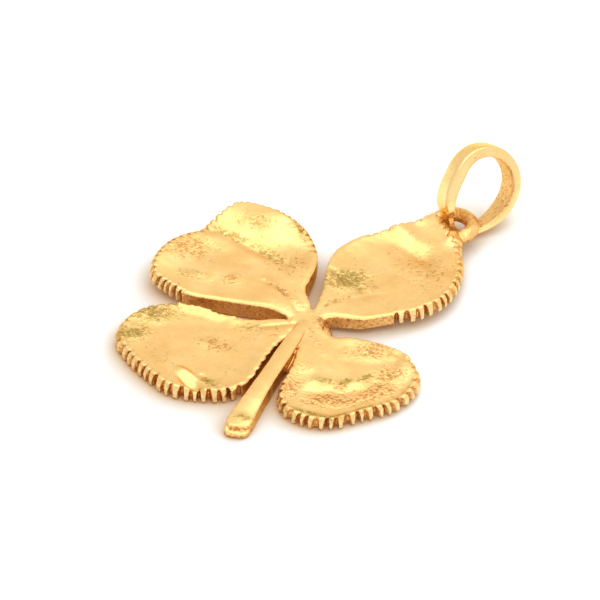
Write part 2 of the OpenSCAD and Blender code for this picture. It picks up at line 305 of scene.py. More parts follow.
def ripples(x, y, size, seed):
    """A smooth uneven field, about -1 to 1, from a few fixed waves of about this size."""
    number, highest = 10, 4.5
    draw = np.random.default_rng(seed)
    total = np.zeros_like(x)
    for _ in range(number):
        heading, phase = draw.uniform(0, 2 * math.pi, 2)
        k = 2 * math.pi / (size * draw.uniform(0.7, 1.6))
        total += np.sin(k * (x * math.cos(heading) + y * math.sin(heading)) + phase)
    return total / highest


# The casting as a distance field, negative inside


def leaf_heights(leaf, x, y):
    """Heights of a leaf's underside and of its rim."""
    under = leaf["lift"] + leaf["rise"][0] * x + leaf["rise"][1] * y
    return under, under + leaf["wall"][0] + leaf["wall"][1] * x


def leaf_edges(leaf, x, y):
    """Polar reach of each point on a leaf, its distance outside the plain outline, its place across
    a groove, how deep the grooves are there and the share of the rim's inset."""
    dx, dy = x - leaf["centre"][0], y - leaf["centre"][1]
    angle = np.degrees(np.arctan2(dy, dx))
    distance = np.hypot(dx, dy)
    radius = around(leaf["outline"], angle)
    lean = (around(leaf["outline"], angle + 0.5) - around(leaf["outline"], angle - 0.5)) / math.radians(1)
    outside = (distance - radius) / np.sqrt(1 + np.minimum((lean / radius) ** 2, 4))
    # length along the edge from where the grooves start
    start, end = leaf["notched"]
    turn = np.linspace(start, start + 360, EDGE_STEPS + 1)
    r = around(leaf["outline"], turn)
    steps = np.hypot(np.diff(r), r[:-1] * np.radians(np.diff(turn)))
    length = np.concatenate([[0], np.cumsum(steps)])
    along = np.interp(start + np.mod(angle - start, 360), turn, length)
    last = np.interp(end, turn, length)
    count = round(last / leaf["pitch"])
    # the grooves are a little unevenly spaced, and not all as deep
    place = along / last * count
    place += waves(place, SPACING_WAVES)
    index = np.floor(place)
    uneven = DEPTH_SHARE + waves(index, DEPTH_WAVES)
    # 0 in the middle of a groove, 0.5 on the crest between two
    groove = np.abs(place - index - 0.5)
    within, inset = (np.clip(along / run, 0, 1) * np.clip((last - along) / run, 0, 1)
                     for run in (GROOVE_RUN, INSET_RUN))
    outside += leaf["rough"] * ripples(x, y, *EDGE_RIPPLES) * np.where(within > 0, 0, 1)
    return distance / radius, outside, groove, uneven * within, inset


def groove_depth(groove, down, foot, nick=NICK_DEPTH):
    """Each groove is an arch: narrow where it reaches the rim, and wider to its foot. down is 0 at the
    rim and 1 at the foot."""
    narrow = NICK_WIDTH + NICK_FLARE * (nick - NICK_DEPTH)
    wide = narrow + (foot - narrow) * down**FLARE_POWER
    deep = np.clip((down - NICK_RUN[0]) / NICK_RUN[1], 0, 1)
    return np.clip(1 - (groove / wide) ** 2, 0, 1) ** HOLLOW_POWER * (nick + (NOTCH_DEPTH - nick) * deep)


def fold_heights(x, y):
    """How much the folds, facets and the shelf add to the tops of the leaves."""
    total = np.zeros_like(x)
    for points, height, width in FOLDS:
        nearest, _ = to_line(points, x, y)
        total += height * bell(nearest, 0, width)
    for cx, cy, length, width, turn, level, rise_x, rise_y, crisp in FACETS:
        u, v = turned(x, y, (cx, cy), turn)
        mask = np.exp(-((u / length) ** 2 + (v / width) ** 2) ** crisp)
        total += (level + rise_x * (x - cx) + rise_y * (y - cy)) * mask
    _, past = to_line(SHELF["edge"], x, y)
    inside = round_patch(x, y, SHELF["centre"], SHELF["reach"])
    return total + SHELF["step"] * (0.5 - 0.5 * np.tanh((past - SHELF["soft"]) / SHELF["soft"])) * inside


def leaf_field(x, y, z):
    """Distance outside the four leaves and the hub. x and y are a plan grid, z the heights."""
    def pull(reach):
        return 1 / (reach**PULL_POWER + PULL_LEAST)

    to_hub = np.hypot(x - HUB_CENTRE[0], y - HUB_CENTRE[1])
    pulls = HUB_PULL[0] * pull(to_hub / (HUB_PULL[1] * HUB_RADIUS))
    dished = np.clip((to_hub - DISH_START) / DISH_RUN, 0, 1)
    dished = dished * dished * (3 - 2 * dished)
    floors = pulls * HUB_FLOOR
    tops = pulls * (HUB_FLOOR + HUB_WALL)
    plans = []
    for leaf in LEAVES:
        reach, outside, groove, cut, inset = leaf_edges(leaf, x, y)
        under, top = leaf_heights(leaf, x, y)
        top -= dished * leaf["bowl"] * (1 - np.minimum(reach, 1) ** leaf["turn"])
        weight = pull(reach)
        pulls += weight
        floors += weight * under
        tops += weight * top
        plans.append((outside, groove, cut, inset))
    floor = np.maximum(floors / pulls, 0)
    top = tops / pulls + fold_heights(x, y)
    (slow_height, *slow), (fine_height, *fine) = TOP_RIPPLES
    top += slow_height * ripples(x, y, *slow) + fine_height * ripples(x, y, *fine)
    # the rolled rim, and the slots over it beside the ring
    edge = np.clip(1 + (to_hub - HUB_RADIUS) / ROLL_WIDTH, 0, 1)
    slots = 0 * x
    slot_width, slot_length, slot_depth, slot_end = RING_SLOTS
    for outside, groove, cut, _ in plans:
        roll = np.where(cut > 0.1, 1, PLAIN_ROLL)
        edge = np.minimum(edge, np.clip(1 + outside / ROLL_WIDTH, 0, 1) * roll)
        hollow = np.clip(1 - (groove / slot_width) ** 2, 0, 1)
        near = np.clip(2 + 2 * outside / slot_length, 0, 1)
        slots = np.maximum(slots, hollow * near * cut * (outside < slot_end))
    ring_centre, ring_reach, deeper = RING_NICKS
    beside_ring = round_patch(x, y, ring_centre, ring_reach)
    top -= RIM_ROLL * edge**2 + slot_depth * slots * beside_ring
    # the edge with its grooves; down is 0 at its top and 1 at its foot
    down = np.clip((top[..., None] - z) / np.maximum(top - floor, LEAST_EDGE)[..., None], 0, 1)
    plan = (to_hub - HUB_RADIUS)[..., None] + 0 * z
    grooved = 0 * x
    leaning = 1 - round_patch(x, y, *TIP)
    nick = NICK_DEPTH + deeper * beside_ring
    for (outside, groove, cut, inset), leaf in zip(plans, LEAVES):
        depth = cut[..., None] * groove_depth(groove[..., None], down, leaf["foot"], nick[..., None])
        back = RIM_INSET * (1 - np.minimum(INSET_FALL * down, 1)) ** 2 * (inset * leaning)[..., None]
        grooved = np.maximum(grooved, cut * (np.abs(outside) < GROOVED_REACH))
        plan = blend_min(plan, outside[..., None] + back + depth, CROTCH_FILLET)
    body = blend_max(z - top[..., None], floor[..., None] - z, EDGE_ROUND)
    return blend_max(body, plan, EDGE_ROUND + GROOVED_ROUND * grooved[..., None])


def stem_field(x, y, z):
    """Distance outside the stem."""
    along, across = turned(x, y, HUB_CENTRE, STEM_ANGLE)
    rows = np.array(STEM_SECTIONS)
    half = np.interp(along, rows[:, 0], rows[:, 1])[..., None] / 2
    low, high = (np.interp(along, rows[:, 0], rows[:, k])[..., None] for k in (2, 3))
    crown = high - STEM_CROWN * (across[..., None] / half) ** 2
    side = np.abs(across)[..., None] - half + waves(along, STEM_WAVES)[..., None]
    # the broken end: a lip below, a crack, and the top a little shorter
    uneven = waves(across, END_WAVES)
    over = z - STEM_END["crack"] - 0.5 * uneven[..., None]
    crack = bell(over, 0, STEM_END["crack_width"])
    top_end = STEM_END["step"] / (1 + np.exp(-over / STEM_END["soft"]))
    slant = STEM_END["slant"] * np.maximum(across, 0) ** 1.5
    bulge = STEM_END["bulge"] * (1 - (across / STEM_END["bulge_width"]) ** 2)
    end = along - rows[-1, 0] + uneven + slant - bulge
    end = end[..., None] + top_end + STEM_END["crack_depth"] * crack
    body = blend_max(blend_max(z - crown, low - z, EDGE_ROUND), side, STEM_ROUND)
    return blend_max(body, np.maximum(end, -along[..., None]), EDGE_ROUND)


def chain_field(rows, x, y, z, width):
    """Distance outside the thick line through rows of (point, radius)."""
    points = np.stack(np.broadcast_arrays(x[..., None], y[..., None], z), -1)
    total = None
    for (start, thick), (end, thin) in zip(rows, rows[1:]):
        start, run = np.array(start), np.array(end) - np.array(start)
        t = np.clip((points - start) @ run / (run @ run), 0, 1)
        part = np.linalg.norm(points - start - t[..., None] * run, axis=-1) - thick - t * (thin - thick)
        total = part if total is None else blend_min(total, part, width)
    return total


def eyelet_field(x, y, z):
    """Distance outside the ring and its solder."""
    cx, cy, cz = EYELET_CENTRE
    ring = np.hypot(np.hypot(x - cx, y - cy)[..., None] - EYELET_RADIUS, z - cz) - EYELET_WIRE / 2
    under_y, under_z, rise, soft = EYELET_UNDER
    ring = blend_max(ring, z - under_z - rise * np.maximum(y - under_y, 0)[..., None], soft)
    return blend_min(ring, chain_field(SOLDER, x, y, z, RING_FILLET), RING_FILLET)


def casting_field(x, y, z):
    """x, y: plan grid (nx, ny); z: (nz,) heights. Returns the (nx, ny, nz) field."""
    field = leaf_field(x, y, z)
    for rows in (WEB, LUMP):
        field = blend_min(field, chain_field(rows, x, y, z, LUMP_SOFT), LUMP_FILLET)
    field = blend_min(field, stem_field(x, y, z), STEM_FILLET)
    return blend_min(field, eyelet_field(x, y, z), RING_FILLET)


# The two ends of a grid's cells along an axis, and the eight corners of the cells
ENDS = (slice(0, -1), slice(1, None))
CORNERS = {offset: tuple(ENDS[o] for o in offset) for offset in np.ndindex(2, 2, 2)}


def fill_pinches(field, passes=12):
    """Fills the few grid corners where two walls would meet in a line or a point alone, so that the
    mesh is one plain closed surface."""
    just_inside = -0.01
    for _ in range(passes):
        inside = field < 0
        fill = np.zeros(field.shape, bool)
        for u, v in ((0, 1), (0, 2), (1, 2)):
            part = {}
            for pair in np.ndindex(2, 2):
                cut = [slice(None)] * 3
                cut[u], cut[v] = ENDS[pair[0]], ENDS[pair[1]]
                part[pair] = tuple(cut)
            a, b, c, d = (inside[cut] for cut in part.values())
            crossed = (a == d) & (b == c) & (a != b)
            for cut in part.values():
                fill[cut] |= crossed
        count = sum(inside[cut].astype(np.int8) for cut in CORNERS.values())
        for offset in ((0, 0, 0), (1, 0, 0), (0, 1, 0), (0, 0, 1)):
            near, far = inside[CORNERS[offset]], inside[CORNERS[tuple(1 - o for o in offset)]]
            lone = ((count == 2) & near & far) | ((count == 6) & ~near & ~far)
            for cut in CORNERS.values():
                fill[cut] |= lone
        fill &= ~inside
        if not fill.any():
            break
        field = np.where(fill, just_inside, field)
    return field


def net_surface(field, origin, step):
    """A closed quad mesh on the field's zero surface: one point in each cell that it crosses."""
    inside = field < 0
    shape = np.array(field.shape) - 1
    count = sum(inside[cut].astype(np.int8) for cut in CORNERS.values())
    cells = np.argwhere((count > 0) & (count < 8))
    number = np.full(shape, -1)
    number[tuple(cells.T)] = np.arange(len(cells))
    total = np.zeros((len(cells), 3))
    crossings = np.zeros(len(cells))
    for axis in range(3):
        others = [a for a in range(3) if a != axis]
        for pair in np.ndindex(2, 2):
            start = np.zeros(3, int)
            start[others[0]], start[others[1]] = pair
            end = start.copy()
            end[axis] = 1
            a, b = field[tuple((cells + start).T)], field[tuple((cells + end).T)]
            hit = (a < 0) != (b < 0)
            t = np.where(hit, a / np.where(hit, a - b, 1), 0)
            place = np.tile(start.astype(float), (len(cells), 1))
            place[:, axis] = t
            total += place * hit[:, None]
            crossings += hit
    points = cells + total / crossings[:, None]
    quads = []
    for axis in range(3):
        u, v = (axis + 1) % 3, (axis + 2) % 3
        low, high = (tuple(end if a == axis else slice(None) for a in range(3)) for end in ENDS)
        edges = np.argwhere(inside[low] != inside[high])
        plane = edges[:, [u, v]]
        edges = edges[(plane > 0).all(1) & (plane < shape[[u, v]]).all(1)]
        ring = []
        for du, dv in ((1, 1), (0, 1), (0, 0), (1, 0)):
            cell = edges.copy()
            cell[:, u] -= du
            cell[:, v] -= dv
            ring.append(number[tuple(cell.T)])
        ring = np.stack(ring, 1)
        flip = ~inside[tuple(edges.T)]
        ring[flip] = ring[flip][:, ::-1]
        quads.append(ring)
    return origin + points * step, np.concatenate(quads)


def settle(points, field, origin, step, passes=3):
    """Moves the points onto the field's zero surface along its slope, a good part of the way each time."""
    share, least_slope = 0.7, 0.05
    slopes = np.stack(np.gradient(field, *step), -1)
    limit = np.array(field.shape) - 1.001
    for _ in range(passes):
        place = np.clip((points - origin) / step, 0, limit)
        base = place.astype(int)
        part = place - base
        value, slope = 0, 0
        for offset in np.ndindex(2, 2, 2):
            weight = np.prod(np.where(offset, part, 1 - part), axis=1)
            at = tuple((base + offset).T)
            value = value + weight * field[at]
            slope = slope + weight[:, None] * slopes[at]
        points = points - share * (value / np.maximum((slope**2).sum(1), least_slope))[:, None] * slope
    return points


def mesh_object(name, points, faces, material):
    mesh = bpy.data.meshes.new(name)
    mesh.from_pydata(((points + SHIFT) * MM).tolist(), [], faces.tolist())
    mesh.materials.append(material)
    mesh.polygons.foreach_set("use_smooth", [True] * len(mesh.polygons))
    mesh.update()
    piece = bpy.data.objects.new(name, mesh)
    bpy.context.collection.objects.link(piece)
    return piece


def thin(piece, most):
    """Thins a mesh to this many triangles, most of all where it is flat."""
    count = sum(len(face.vertices) - 2 for face in piece.data.polygons)
    thinner = piece.modifiers.new("thin", "DECIMATE")
    thinner.ratio = most / count
    bpy.context.view_layer.update()
    mesh = bpy.data.meshes.new_from_object(piece.evaluated_get(bpy.context.evaluated_depsgraph_get()))
    piece.modifiers.clear()
    piece.data = mesh


def set_layers(piece, layers):
    """Gives a piece its wear, painted shade and painted highlights, a number at each vertex for each layer.
    """
    for key, values in layers.items():
        layer = piece.data.attributes.new(key, "FLOAT", "POINT")
        layer.data.foreach_set("value", np.asarray(values, np.float32))


def build_casting(material):
    xs, ys, zs = (np.arange(a, b, s) for a, b, s in zip(GRID_LOW, GRID_HIGH, GRID_STEP))
    x, y = np.meshgrid(xs, ys, indexing="ij")
    field = fill_pinches(casting_field(x, y, zs))
    points, faces = net_surface(field, GRID_LOW, GRID_STEP)
    points = settle(points, field, GRID_LOW, GRID_STEP)
    casting = mesh_object("clover_casting", points, faces, material)
    thin(casting, MOST_TRIANGLES)
    points = np.zeros((len(casting.data.vertices), 3))
    casting.data.vertices.foreach_get("co", points.ravel())
    points = points / MM - SHIFT
    normals = np.zeros((len(points), 3))
    casting.data.vertex_normals.foreach_get("vector", normals.ravel())
    layers = dict(zip(("pits", "olive", "orange"), wear(points, normals)))
    # painted shade in gaps, grooves and on walls, and painted highlights on crests
    layers["painted_shade"], layers["crest_highlight"] = painted_shade(points, normals, field)
    set_layers(casting, layers)
    return casting


# Bail


def rotation(degrees_xyz):
    return np.array(Euler([math.radians(d) for d in degrees_xyz], "XYZ").to_matrix())


def build_bail(material):
    stations, corners = 300, 48
    turn = np.arange(stations) * 360 / stations
    radius, width, thick = (around(BAIL_SECTIONS, turn, k) for k in (1, 2, 3))
    centre = np.stack([0 * radius, radius * np.sin(np.radians(turn)), radius * np.cos(np.radians(turn))], 1)
    along = np.roll(centre, -1, 0) - np.roll(centre, 1, 0)
    out = np.stack([0 * radius, -along[:, 2], along[:, 1]], 1)
    out /= np.linalg.norm(out, axis=1)[:, None]
    out *= np.sign((out * centre).sum(1))[:, None]
    around_band = 2 * math.pi * (np.arange(corners) + 0.5) / corners
    across, depth = (np.sign(wave) * np.abs(wave) ** (2 / BAIL_SQUARENESS)
                     for wave in (np.cos(around_band), np.sin(around_band)))
    points = (centre[:, None] + (width[:, None] / 2 * across)[..., None] * np.array([1, 0, 0])
              + (thick[:, None] / 2 * depth)[..., None] * out[:, None])
    points = points.reshape(-1, 3) @ rotation(BAIL_POSE).T + BAIL_CENTRE
    i, k = np.meshgrid(np.arange(stations), np.arange(corners), indexing="ij")
    a, b = i * corners + k, i * corners + (k + 1) % corners
    c, d = (a + corners) % len(points), (b + corners) % len(points)
    faces = np.stack([a, c, d, b], -1).reshape(-1, 4)
    band = mesh_object("bail_band", points, faces, material)
    # its inside is pitted all over, and has painted shade, darkest on the right
    inner_pits, inner_orange, sharpness = BAIL_INNER
    inner = np.clip(-np.tile(np.sin(around_band), stations) * sharpness, 0, 1)
    station = np.repeat(turn, corners)
    corner = np.tile(around_band, stations)
    shade = BAIL_SHADE[0] + BAIL_SHADE[1] * bell(station, *BAIL_DARK)
    # and a line of orange tarnish runs along the edge that faces up, on the left limb
    line = bell(station, *BAIL_LINE[0]) * bell(corner, *BAIL_LINE[1])
    none = np.zeros(len(points))
    pits, orange = BAIL_PLAIN + inner_pits * inner, BAIL_PLAIN + inner_orange * inner + line
    set_layers(band, dict(pits=pits, orange=orange, painted_shade=shade * inner, olive=none, crest_highlight=none))
    return band


# Materials

# Worn and pitted patches on top of the casting, a few of them partly painted shade: (x, y, half length,
# half width, turn in degrees, pits, olive tarnish, orange tarnish)
PATCHES = [
    # left leaf
    (-10.4, -0.3, 1.7, 1.3, 45, 0.5, 0.5, 0.9),
    (-8.1, -1.9, 1.3, 0.45, 30, 0.4, 0.7, 0.5),
    (-6.2, -0.5, 0.8, 0.5, 60, 0.4, 0.3, 0.9),
    (-9.3, 2.35, 1.7, 0.34, 17, 0.5, 1.2, 0.5),
    (-6.4, 2.95, 1.6, 0.4, 8, 0.5, 1.2, 0.5),
    (-8.9, 4.3, 1.4, 0.9, 45, 0.6, 0.5, 0.7),
    (-6.9, 5.6, 0.5, 0.3, 40, 0.5, 0.1, 0.6),
    (-5.9, 5.9, 1.2, 0.5, -50, 0.8, 0.3, 0.8),
    (-4.6, 3.1, 1.8, 1.2, 20, 0.35, 0.1, 0.7),
    (-8.6, 6.1, 1.8, 0.15, 5, 0.6, 1.2, 0.3),
    (-6.2, 5.7, 0.9, 0.15, -28, 0.8, 1, 0.6),
    (-2.9, 1, 1.9, 0.3, -3, 0.5, 0, 1.2),
    # top leaf
    (-1.1, 5, 1.7, 1.1, 60, 1.1, 1.3, 0),
    (0.3, 5.2, 0.9, 0.5, 60, 0.7, 0.8, 0.1),
    (-2.9, 10.6, 0.9, 0.4, 60, 0.6, 0.3, 0.8),
    (1.8, 9.6, 2.9, 2.4, 0, 0.4, 0.15, 0.5),
    (0.4, 4.2, 2.6, 0.22, 78, 0.3, 0.5, 0.8),
    # front leaf
    (-7.5, -6.2, 1.7, 0.9, 52, 1.5, 1.3, 0.1),
    (-7.1, -8.8, 1.5, 0.8, 65, 1.5, 1.2, 0.2),
    (-4.2, -8.6, 1.6, 0.8, -20, 0.3, 0.3, 0.3),
    (0.1, -8.1, 0.8, 0.4, 15, 0.7, 1.1, 0),
    (-2, -2.8, 1, 0.5, 40, 0.6, 0.8, 0.1),
    (-2.5, -5.4, 1.5, 0.7, 30, 0.4, 0.2, 0.9),
    (-0.8, -2.3, 1.5, 0.6, 60, 0.4, 0.2, 0.5),
    # right leaf
    (6.6, -3.6, 2.2, 0.75, 42, 1.6, 0.2, 1),
    (6.1, -2.3, 0.5, 0.6, 50, 1.2, 0.1, 0.8),
    (8, -0.9, 1.6, 0.8, 68, 1.6, 0.1, 1),
    (7.5, 0.8, 1.3, 0.9, 60, 1.4, 0.1, 0.9),
    (3.9, -4.6, 1.3, 0.9, -60, 1.1, 0.1, 0.9),
    (5.1, 1.5, 1.7, 0.9, 50, 1.2, 0.3, 0.9),
    # these three olive lines along the plateau's step are tarnish and painted shade of the slope
    (5.05, -2.75, 0.8, 0.28, 32, 0.6, 1.3, 0),
    (6.05, -1.8, 0.7, 0.28, 58, 0.6, 1.3, 0),
    (6.6, -0.6, 0.8, 0.28, 74, 0.6, 1.3, 0),
    (6.75, -5.4, 1.7, 0.24, 25, 0.6, 1.2, 0.1),
    (8.1, -4.3, 0.8, 0.22, 62, 0.6, 1.1, 0.1),
    (8.6, -2.8, 0.9, 0.2, 72, 0.6, 0.9, 0.1),
    (3, -3.1, 0.9, 0.6, 60, 0.7, 0.4, 0.5),
    # the start of the gap between the top and right leaves
    (1.1, 0.9, 0.7, 0.45, -10, 1.5, 0, 1.6),
    (1.7, -0.5, 1.7, 0.2, -21, 0.4, 0.3, 0.8),
    # the stem's end
    (4.1, -8.9, 0.7, 0.35, 20, 0.6, 1, 0.3),
]
PATCH_CRISP = 1.3
PLAIN_WEAR = (0.04, 0.05, 0.1)      # pits, olive and orange tarnish where there is no patch
RING_WEAR = (0.8, 0.2, 0.4)         # and what the ring has more, all over
# The ring's own part of the casting: (start, run) in y, and (end, run, least) in x
RING_SPAN = ((13.3, 0.4), (1.2, 0.6, 0.3))
# What counts as a wall: the height of the normal where it starts, and over what it is one in full
WORN_WALL = (0.5, 0.3)
# this one picks the walls that get painted shade
SHADED_WALL = (0.7, 0.5)
WALL_ORANGE = 0.6       # orange tarnish that a wall has more

# The stem's sides get more painted shade: the stretch of them along it, its reach across, and how much
STEM_SIDE_SHADE = ((2, 10.4), 1, 0.25)
# And so does the wall of the slot between the left and front leaves: its reach in x and in y, and how much
SLOT_WALL_SHADE = ((-9, -0.8), (-3, 0.5), 0.35)
# How far from a vertex the gaps for the painted shade are looked for, how far to its sides, from what
# direction these are taken, and how near the table counts as metal
PROBE_REACHES = (0.25, 0.5, 0.9, 1.8)
PROBE_LEANS = ((0, 0), (0.7, 0), (-0.7, 0), (0, 0.7), (0, -0.7))
PROBE_AXIS = (0.31, 0.17, 0.93)
TABLE_NEAR = 0.2
GAP_GAIN = (3.2, 0.5)   # how fast the painted shade in a gap grows with the share found, and how late that starts
GAP_SHADE = (0.3, 0.7)  # how strong the painted shade in a gap is on a top, and how much more on a wall
OPEN_WALL_SHADE = 0.08       # and how much painted shade an open wall has
# How far from the edge a vertex still counts as in a groove, how high the edge is, from what depth a groove
# has its full painted shade, how strong that is, and how far down from the rim that starts
GROOVE_REACH = 0.6
EDGE_HEIGHT = 0.9
FULL_DEPTH = 0.4
GROOVE_SHADE = 0.9
SHADE_START = 0.15
# The painted highlights on the crests between grooves: from where across a groove, over what share, and how
# far down they start
CREST_SPAN = (0.26, 0.1)
CREST_START = 0.1


def walls(normals, start, run):
    """0 on the tops and 1 on the walls: start and run are heights of the normal."""
    return np.clip((start - normals[:, 2]) / run, 0, 1)


def wear(points, normals):
    """Pits, olive and orange tarnish at each vertex of the casting, the olive in places partly painted
    shade.
    """
    x, y, _ = points.T
    wall = walls(normals, *WORN_WALL)
    layers = [0 * x + amount for amount in PLAIN_WEAR]
    for px, py, length, width, turn, *amounts in PATCHES:
        u, v = turned(x, y, (px, py), turn)
        here = np.exp(-((u / length) ** 2 + (v / width) ** 2) ** PATCH_CRISP)
        layers = [np.maximum(layer, amount * here) for layer, amount in zip(layers, amounts)]
    (start, start_run), (end, end_run, least) = RING_SPAN
    ring = np.clip((y - start) / start_run, 0, 1) * np.clip((end - x) / end_run, least, 1)
    pits, olive, orange = (layer + amount * ring for layer, amount in zip(layers, RING_WEAR))
    return pits + wall, olive * (1 - wall), orange + WALL_ORANGE * wall


def painted_shade(points, normals, field):
    """Painted shade by how deep in a groove or gap each vertex lies, and painted highlight by how far up on
    a crest, 0 to 1.
    """
    limit = np.array(field.shape) - 1.001
    x, y, z = points.T
    side = np.cross(normals, PROBE_AXIS)
    side /= np.linalg.norm(side, axis=1)[:, None] + 1e-9
    other = np.cross(normals, side)
    # the share of the field's probes, in front of the vertex, that find metal or the table
    found = 0
    for reach in PROBE_REACHES:
        for lean in PROBE_LEANS:
            probe = points + reach * (normals + lean[0] * side + lean[1] * other)
            at = np.clip((probe - GRID_LOW) / GRID_STEP, 0, limit).astype(int)
            near = np.minimum(field[tuple(at.T)], probe[:, 2] + TABLE_NEAR)
            found = found + np.clip(0.5 - near / reach, 0, 1)
    found = found / (len(PROBE_LEANS) * len(PROBE_REACHES))
    # painted shade: in gaps, more on their walls, and a little on every open wall
    hidden = np.clip(found * GAP_GAIN[0] - GAP_GAIN[1], 0, 1)
    wall = walls(normals, *SHADED_WALL)
    deep = hidden * (GAP_SHADE[0] + GAP_SHADE[1] * wall) + OPEN_WALL_SHADE * wall
    along, across = turned(x, y, HUB_CENTRE, STEM_ANGLE)
    # more painted shade on the stem's sides and on the slot's wall
    (start, end), reach, amount = STEM_SIDE_SHADE
    deep += amount * wall * (along > start) * (along < end) * (np.abs(across) < reach)
    (west, east), (south, north), amount = SLOT_WALL_SHADE
    deep += amount * wall * (x > west) * (x < east) * (y > south) * (y < north)
    crest_highlight = 0 * x
    for leaf in LEAVES:
        _, outside, groove, cut, _ = leaf_edges(leaf, x, y)
        _, rim = leaf_heights(leaf, x, y)
        down = np.clip((rim - z) / EDGE_HEIGHT, 0, 1)
        here = cut * (np.abs(outside) < GROOVE_REACH)
        # painted shade inside the grooves
        cavity = np.clip(groove_depth(groove, down, leaf["foot"]) / FULL_DEPTH, 0, 1)
        deep = np.maximum(deep, GROOVE_SHADE * (here * np.clip(down / SHADE_START, 0, 1)) * cavity)
        # painted highlight on the walls of the crests between grooves
        between = np.clip((groove - CREST_SPAN[0]) / CREST_SPAN[1], 0, 1)
        crest_highlight = np.maximum(crest_highlight, between * here * np.clip(down / CREST_START, 0, 1) * wall)
    return np.clip(deep, 0, 1), crest_highlight


# The gold's noises: (size in mm, detail, roughness, offset)
NOISES = dict(
    tones=(2.2, 4, 0.6, 1),
    patches=(0.9, 4, 0.6, 4),
    pits=(0.25, 2, 0.65, 3),
    olive_specks=(0.25, 2, 0.65, 6),
    gloss=(1.1, 3, 0.5, 2),
    skin=(1, 3, 0.5, 5),
)
TONE_SPAN = (0.35, 0.68)        # the stretches of the noises that the tones, patches and gloss follow
PATCH_SPAN = (0.36, 0.56)
GLOSS_SPAN = (0.3, 0.7)
# Colours of the wear, of the painted shade in recesses and of the painted highlight on crests, and how
# strong each is at most
ORANGE = ((0.8, 0.42, 0.16), 0.55)
OLIVE = ((0.6, 0.42, 0.12), 0.75)
ORANGE_SPECKS = ((0.58, 0.27, 0.08), 0.8)
OLIVE_SPECKS = ((0.34, 0.23, 0.06), 0.65)
# painted brown shade, then painted pale highlight
PAINTED_SHADE = ((0.6, 0.3, 0.1), 0.85)
CREST_HIGHLIGHT = ((1, 0.84, 0.48), 0.7)
# Specks lie where the noise is under a line: its rise with the amount, its height, and how crisp they are
SPECK_LINE = (0.24, 0.3)
SPECK_EDGE = 14
ROUGHNESS = (0.24, 0.34)        # where the skin is smoothest and dullest
PIT_ROUGHNESS = 0.06            # and what pits add
PIT_RELIEF = 1.2                # how deep the pits and the skin's ripples are, as shares of the relief
SKIN_RELIEF = 0.3
RELIEF = 0.00009                # in metres


def new_material(name):
    """A material with its nodes, links and shader."""
    material = bpy.data.materials.new(name)
    material.use_nodes = True
    nodes, links = material.node_tree.nodes, material.node_tree.links
    return material, nodes, links, nodes["Principled BSDF"]


def map_range(nodes, links, value, low, high, to_low=0.0, to_high=1.0):
    """The stretch of a value from low to high, as to_low to to_high."""
    node = nodes.new("ShaderNodeMapRange")
    for key, number in (("From Min", low), ("From Max", high), ("To Min", to_low), ("To Max", to_high)):
        node.inputs[key].default_value = number
    links.new(value, node.inputs["Value"])
    return node.outputs["Result"]


